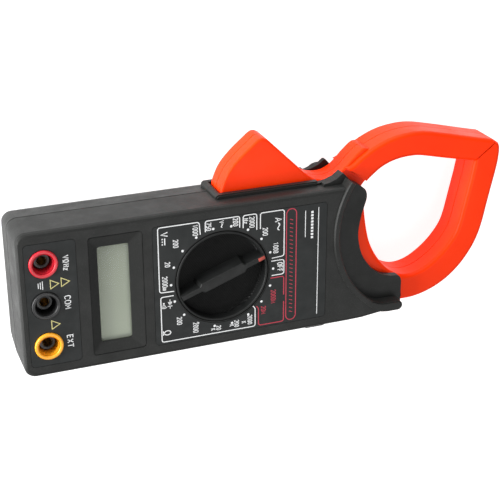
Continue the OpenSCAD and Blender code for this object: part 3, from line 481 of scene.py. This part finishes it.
class Ink:
    """Collects flat strokes standing a few hundredths of a millimetre above a printed film."""

    def __init__(self, z, h=0.045):
        self.z, self.h, self.v, self.f = z, h, [], []

    def poly(self, pts):
        b, n = len(self.v), len(pts)
        self.v += [(x, y, self.z - 0.02) for x, y in pts] + [(x, y, self.z + self.h) for x, y in pts]
        self.f += [tuple(b + i for i in range(n))[::-1], tuple(b + n + i for i in range(n))]
        self.f += [(b + i, b + (i + 1) % n, b + n + (i + 1) % n, b + n + i) for i in range(n)]

    def stroke(self, pts, w, closed=False):
        """One ribbon with mitred corners along the points."""
        if closed:
            pts = list(pts) + [pts[0], pts[1]]
        L, R = [], []
        for i, p in enumerate(pts):
            a, c = pts[max(i - 1, 0)], pts[min(i + 1, len(pts) - 1)]
            u = unit(p[0] - a[0], p[1] - a[1]) if i else unit(c[0] - p[0], c[1] - p[1])
            v = unit(c[0] - p[0], c[1] - p[1]) if i < len(pts) - 1 else u
            nx, ny = -(u[1] + v[1]), u[0] + v[0]
            k = max(1 + u[0] * v[0] + u[1] * v[1], 0.5)
            L.append((p[0] + nx / k * w / 2, p[1] + ny / k * w / 2))
            R.append((p[0] - nx / k * w / 2, p[1] - ny / k * w / 2))
        if closed:
            L, R = L[1:], R[1:]
        for i in range(len(L) - 1):
            self.poly([L[i], R[i], R[i + 1], L[i + 1]])

    def dot(self, x, y, r, n=20):
        self.poly([(x + r * math.cos(2 * math.pi * k / n), y + r * math.sin(2 * math.pi * k / n)) for k in range(n)])

    def text(self, s, x, y, h, w=0.62, bold=0.15, turn=0.0):
        """Text centred at x, y; its baseline runs towards -Y and its top is towards +X."""
        step = h * w
        ca, sa = math.cos(turn), math.sin(turn)
        for i, ch in enumerate(s):
            off = (i - len(s) / 2) * step
            for st in GL[ch]:
                q = []
                for u, v in st:
                    a, b = off + u * step, (v - 0.5) * h
                    a, b = a * ca - b * sa, a * sa + b * ca
                    q.append((x + b, y - a))
                self.stroke(q, h * bold)

    def done(self, name, mat, body="meter_case"):
        return make(name, self.v, self.f, mat, body, sharp=20, merge=False)


def corner(pts, r=1.2, n=5):
    """Polyline with its inner corners rounded."""
    out = [pts[0]]
    for a, b, c in zip(pts, pts[1:], pts[2:]):
        u, v = unit(a[0] - b[0], a[1] - b[1]), unit(c[0] - b[0], c[1] - b[1])
        q = min(r, 0.45 * math.hypot(a[0] - b[0], a[1] - b[1]), 0.45 * math.hypot(c[0] - b[0], c[1] - b[1]))
        p0, p2 = (b[0] + u[0] * q, b[1] + u[1] * q), (b[0] + v[0] * q, b[1] + v[1] * q)
        for k in range(n + 1):
            t = k / n
            out.append(tuple((1 - t) ** 2 * p0[i] + 2 * t * (1 - t) * b[i] + t * t * p2[i] for i in range(2)))
    return out + [pts[-1]]


zt = label_top
white, red = Ink(zt), Ink(zt)
W = 0.42
for fr in ([(-36.0, 21.6), (-36.4, 27.4), (-54.9, 27.4), (-54.9, -2.9), (-48.4, -3.1)],
           [(-18.0, 22.1), (-18.0, 27.4), (-33.7, 27.4), (-33.7, 22.4)],
           [(-10.1, 19.9), (-10.1, 27.4), (-16.4, 27.4), (-16.4, 21.6)],
           [(-8.4, 20.0), (-8.4, 27.4), (2.8, 27.4), (2.8, 5.5), (-3.0, 5.1)],
           [(-3.2, 3.7), (2.8, 3.7), (2.8, -3.3), (-3.0, -3.3)],
           [(-48.6, -5.1), (-54.5, -5.1), (-54.5, -26.9), (-10.9, -26.9), (-10.9, -18.0), (-11.9, -16.8)]):
    white.stroke(corner(fr), W)
for fr in ([(-3.6, -4.5), (2.8, -4.5), (2.8, -13.6)], [(2.8, -16.9), (2.8, -26.9), (-9.3, -26.9), (-9.3, -18.4), (-10.2, -17.2)]):
    red.stroke(corner(fr), W)
pill = [(3.9, -24.4)] + [(6.25 - 2.35 * math.cos(a), -24.4 - 2.35 * math.sin(a)) for a in [math.pi * k / 12 for k in range(1, 12)]] + [(8.6, -24.4), (8.6, 25.0)]
pill += [(6.25 + 2.35 * math.cos(a), 25.0 + 2.35 * math.sin(a)) for a in [math.pi * k / 12 for k in range(1, 12)]] + [(3.9, 25.0)]
red.stroke(pill, 0.42, closed=True)
for k in range(24):  # a row of plain ticks stands where running text would be
    red.stroke([(5.5, 22.5 - k * 1.95), (7.0, 21.9 - k * 1.95)], 0.3)

for k in range(18):
    a = rad(20 * k)
    x, y = kx + 23.66 * math.cos(a), ky + 23.66 * math.sin(a)
    white.dot(x, y, 0.56)
SZ = 2.1
for s, x, y in (("1000", -1.1, 9.8), ("200", -6.1, 18.3), ("2000", -12.3, 23.7), ("200", -19.9, 24.9), ("750", -32.2, 24.6), ("1000", -38.2, 23.9),
                ("200", -47.1, 19.0), ("20", -51.0, 9.9), ("2000m", -52.4, 1.2), ("200", -46.3, -17.9), ("2000", -38.9, -22.5)):
    white.text(s, x, y, SZ, 0.64, 0.135)
for s, x, y in (("20M", -6.9, -19.6), ("2000M", -2.2, -13.7)):
    red.text(s, x, y, SZ, 0.64, 0.135)
for s, x, y in (("20", -28.2, -24.6), ("K", -30.8, -25.0), ("200", -19.7, -24.1), ("K", -22.1, -24.6), ("2000", -13.4, -23.3), ("K", -16.3, -24.1)):
    white.text(s, x, y, SZ * 0.9, 0.64, 0.14)
white.text("OFF", 0.9, 0.2, 2.2, 0.72, 0.17)
white.text("A", 0.1, 23.0, 3.0, 0.8, 0.15)
white.text("~", 0.2, 19.7, 4.0, 1.0, 0.11)
white.text("V", -52.1, 23.9, 3.0, 0.8, 0.15)
white.text("=", -52.5, 20.6, 3.2, 1.1, 0.14)
white.text("V", -26.3, 25.9, 1.9, 0.75, 0.16)
white.text("~", -26.2, 24.2, 2.2, 0.9, 0.16)
white.text("Hz", -15.1, 24.6, 2.0, 0.7, 0.16)
white.text("o", -52.1, -22.8, 3.4, 0.95, 0.12)
# diode and buzzer marks
white.poly([(-51.4, -7.9), (-49.4, -7.9), (-50.4, -9.8)])
white.stroke([(-50.4, -6.7), (-50.4, -11.1)], 0.3)
white.stroke([(-51.4, -9.9), (-49.4, -9.9)], 0.34)
white.dot(-53.2, -8.3, 0.4)
for r in (0.9, 1.6, 2.3):
    white.stroke([(-53.2 + r * math.sin(t), -8.3 - r * math.cos(t)) for t in [rad(-36 + 18 * i) for i in range(5)]], 0.28)
# plain marks in the end field of the panel: two rules and a row of small squares
white.stroke([(19.2, 26.2), (19.2, -26.2)], 0.3)
for k in range(9):
    yy = 24.8 - k * 1.5
    white.poly([(15.6, yy), (16.7, yy), (16.7, yy - 1.0), (15.6, yy - 1.0)])
white.stroke([(12.9, 25.4), (12.9, 12.8)], 0.3)
white.done("dial_print_white", M["ink_white"])
red.done("dial_print_red", M["ink_red"])

jt = mm("jack_label")[1][2]
jx = (mm("jack_ring_red")[0][0] + mm("jack_ring_red")[1][0]) / 2
jw, jy = Ink(jt), Ink(jt)
jw.text("Vo", -94.7, 19.7, 2.3, 0.8, 0.16)
jw.text("Hz", -94.7, 16.0, 2.3, 0.7, 0.16)
jw.text("COM", -95.0, 0.0, 2.4, 0.9, 0.16)
jw.text("EXT", -95.0, -18.4, 2.4, 0.9, 0.16)
for cx, cy in ((-95.7, 9.6), (-100.3, 9.3), (-100.9, -9.4)):
    tri = [(cx - 1.5, cy + 2.0), (cx - 1.5, cy - 2.0), (cx + 2.0, cy)]
    jy.stroke(tri, 0.34, closed=True)
for r in (0.0, 0.9, 1.8):
    jw.stroke([(-106.9 + r, 8.2 - r * 0.4), (-106.9 + r, 10.6 + r * 0.4)], 0.3)
jw.done("socket_print_white", M["ink_white"])
jy.done("socket_print_yellow", M["ink_yellow"])

# ------------------------------------------------------------------ socket rings
for node, mat, slot in (("jack_ring_red", "red_ring", "red_ring"), ("jack_ring_black", "black", "black"), ("jack_ring_yellow", "amber_ring", "amber_ring")):
    lo, hi = mm(node)
    cx, cy, zt2 = (lo[0] + hi[0]) / 2, (lo[1] + hi[1]) / 2, hi[2]
    prof = [(4.56, lo[2]), (6.13, lo[2]), (6.13, zt2 - 0.45), (6.02, zt2 - 0.17), (5.82, zt2 - 0.03), (5.5, zt2), (5.0, zt2 - 0.02), (4.78, zt2 - 0.14), (4.62, zt2 - 0.4), (4.56, zt2 - 0.8), (4.56, lo[2])]
    o = make(node + "_moulding", *lathe(prof, cx, cy, 96), M[mat], "meter_case", slot=slot)
    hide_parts(node)
    make(node + "_cap", *lathe([(2.05, 31.63), (3.38, 31.63), (3.38, 31.82), (3.22, 31.96), (2.3, 31.96), (2.05, 31.8), (2.05, 31.63)], cx, cy, 48), M["black"], "meter_case", slot="black")
    if mat != "black":  # coloured liner inside the socket mouth
        o = make(node + "_liner", *lathe([(4.1, 28.9), (4.53, 28.9), (4.53, lo[2] - 0.02), (4.56, lo[2]), (4.3, lo[2] + 0.5), (4.22, lo[2]), (4.1, 30), (4.1, 28.9)], cx, cy, 64), M[mat], "meter_case", slot=slot)

# ------------------------------------------------------------------ finish of the carried-over nodes
slots = {s["node"]: s["material_slot"] for s in frame["record"].get("subparts", []) if "material_slot" in s}
for name, o in N.items():
    s = slots.get(name, "case")
    mat = M.get(s, M["case"])
    if o.material_slots:
        for ms in o.material_slots:
            ms.material = mat
    else:
        o.data.materials.append(mat)
    if o.hide_render:
        continue
    w = o.modifiers.new("weld", "WELD")
    w.merge_threshold = 2e-6
    if name in ("front_case", "rear_case", "battery_door", "hold_button", "battery", "lcd_window", "lcd_frame"):
        b = o.modifiers.new("edge", "BEVEL")
        b.width, b.segments, b.limit_method, b.angle_limit = 0.22 * MM, 2, "ANGLE", rad(35)
        b.use_clamp_overlap = True
    e = o.modifiers.new("split", "EDGE_SPLIT")
    e.split_angle = rad(34)
    n = o.modifiers.new("shade", "WEIGHTED_NORMAL")
    n.keep_sharp = True

# ------------------------------------------------------------------ floor, light, camera
floor_m = G("studio_floor")
floor_m.link(floor_m.mix(floor_m.range(floor_m.noise(3), 0, 1), (0.50, 0.50, 0.50), (0.515, 0.515, 0.515)), floor_m.p.inputs["Base Color"])
floor_m.p.inputs["Roughness"].default_value = 0.8
floor_m.p.inputs["Emission Color"].default_value = (1, 1, 1, 1)
floor_m.p.inputs["Emission Strength"].default_value = 0.86
me = bpy.data.meshes.new("floor")
me.from_pydata([(-4, -4, -0.0002), (4, -4, -0.0002), (4, 4, -0.0002), (-4, 4, -0.0002)], [], [(0, 1, 2, 3)])
me.materials.append(floor_m.m)
floor = bpy.data.objects.new("floor", me)
scene.collection.objects.link(floor)

world = bpy.data.worlds.new("studio")
scene.world = world
world.use_nodes = True
world.node_tree.nodes["Background"].inputs[0].default_value = (1, 1, 1, 1)
world.node_tree.nodes["Background"].inputs[1].default_value = 0.36


def area(name, loc, target, size, power, size_y=None, col=(1, 1, 1)):
    L = bpy.data.lights.new(name, "AREA")
    L.energy, L.size, L.color = power, size, col
    if size_y:
        L.shape, L.size_y = "RECTANGLE", size_y
    o = bpy.data.objects.new(name, L)
    scene.collection.objects.link(o)
    o.location = loc
    o.rotation_mode = "QUATERNION"
    o.rotation_quaternion = (Vector(target) - Vector(loc)).to_track_quat("-Z", "Y")
    return o


area("side_softbox", (-0.20, 1.05, 0.30), (0, 0, 0.02), 1.4, 7.8, 0.5)
area("end_softbox", (-1.10, 0.15, 0.25), (0, 0, 0.02), 0.9, 27, 0.4)
area("top_softbox", (0.15, -0.45, 1.1), (0, 0, 0), 0.8, 5)

R = Matrix(((0.93375352, -0.00206874, 0.35791072), (-0.14700743, -0.91395814, 0.37824508), (0.32633292, -0.40580321, -0.85371575)))
cam = bpy.data.cameras.new("camera")
cam.sensor_width, cam.lens = 36, 36 * 1271.92 / 500
cam.clip_start, cam.clip_end = 0.05, 20
co = bpy.data.objects.new("camera", cam)
scene.collection.objects.link(co)
rot = Matrix((R[0], -Vector(R[1]), -Vector(R[2]))).transposed()
co.matrix_world = Matrix.Translation(Vector((-0.194396, 0.235979, 0.509179))) @ rot.to_4x4()
scene.camera = co
scene.view_settings.view_transform = "Standard"
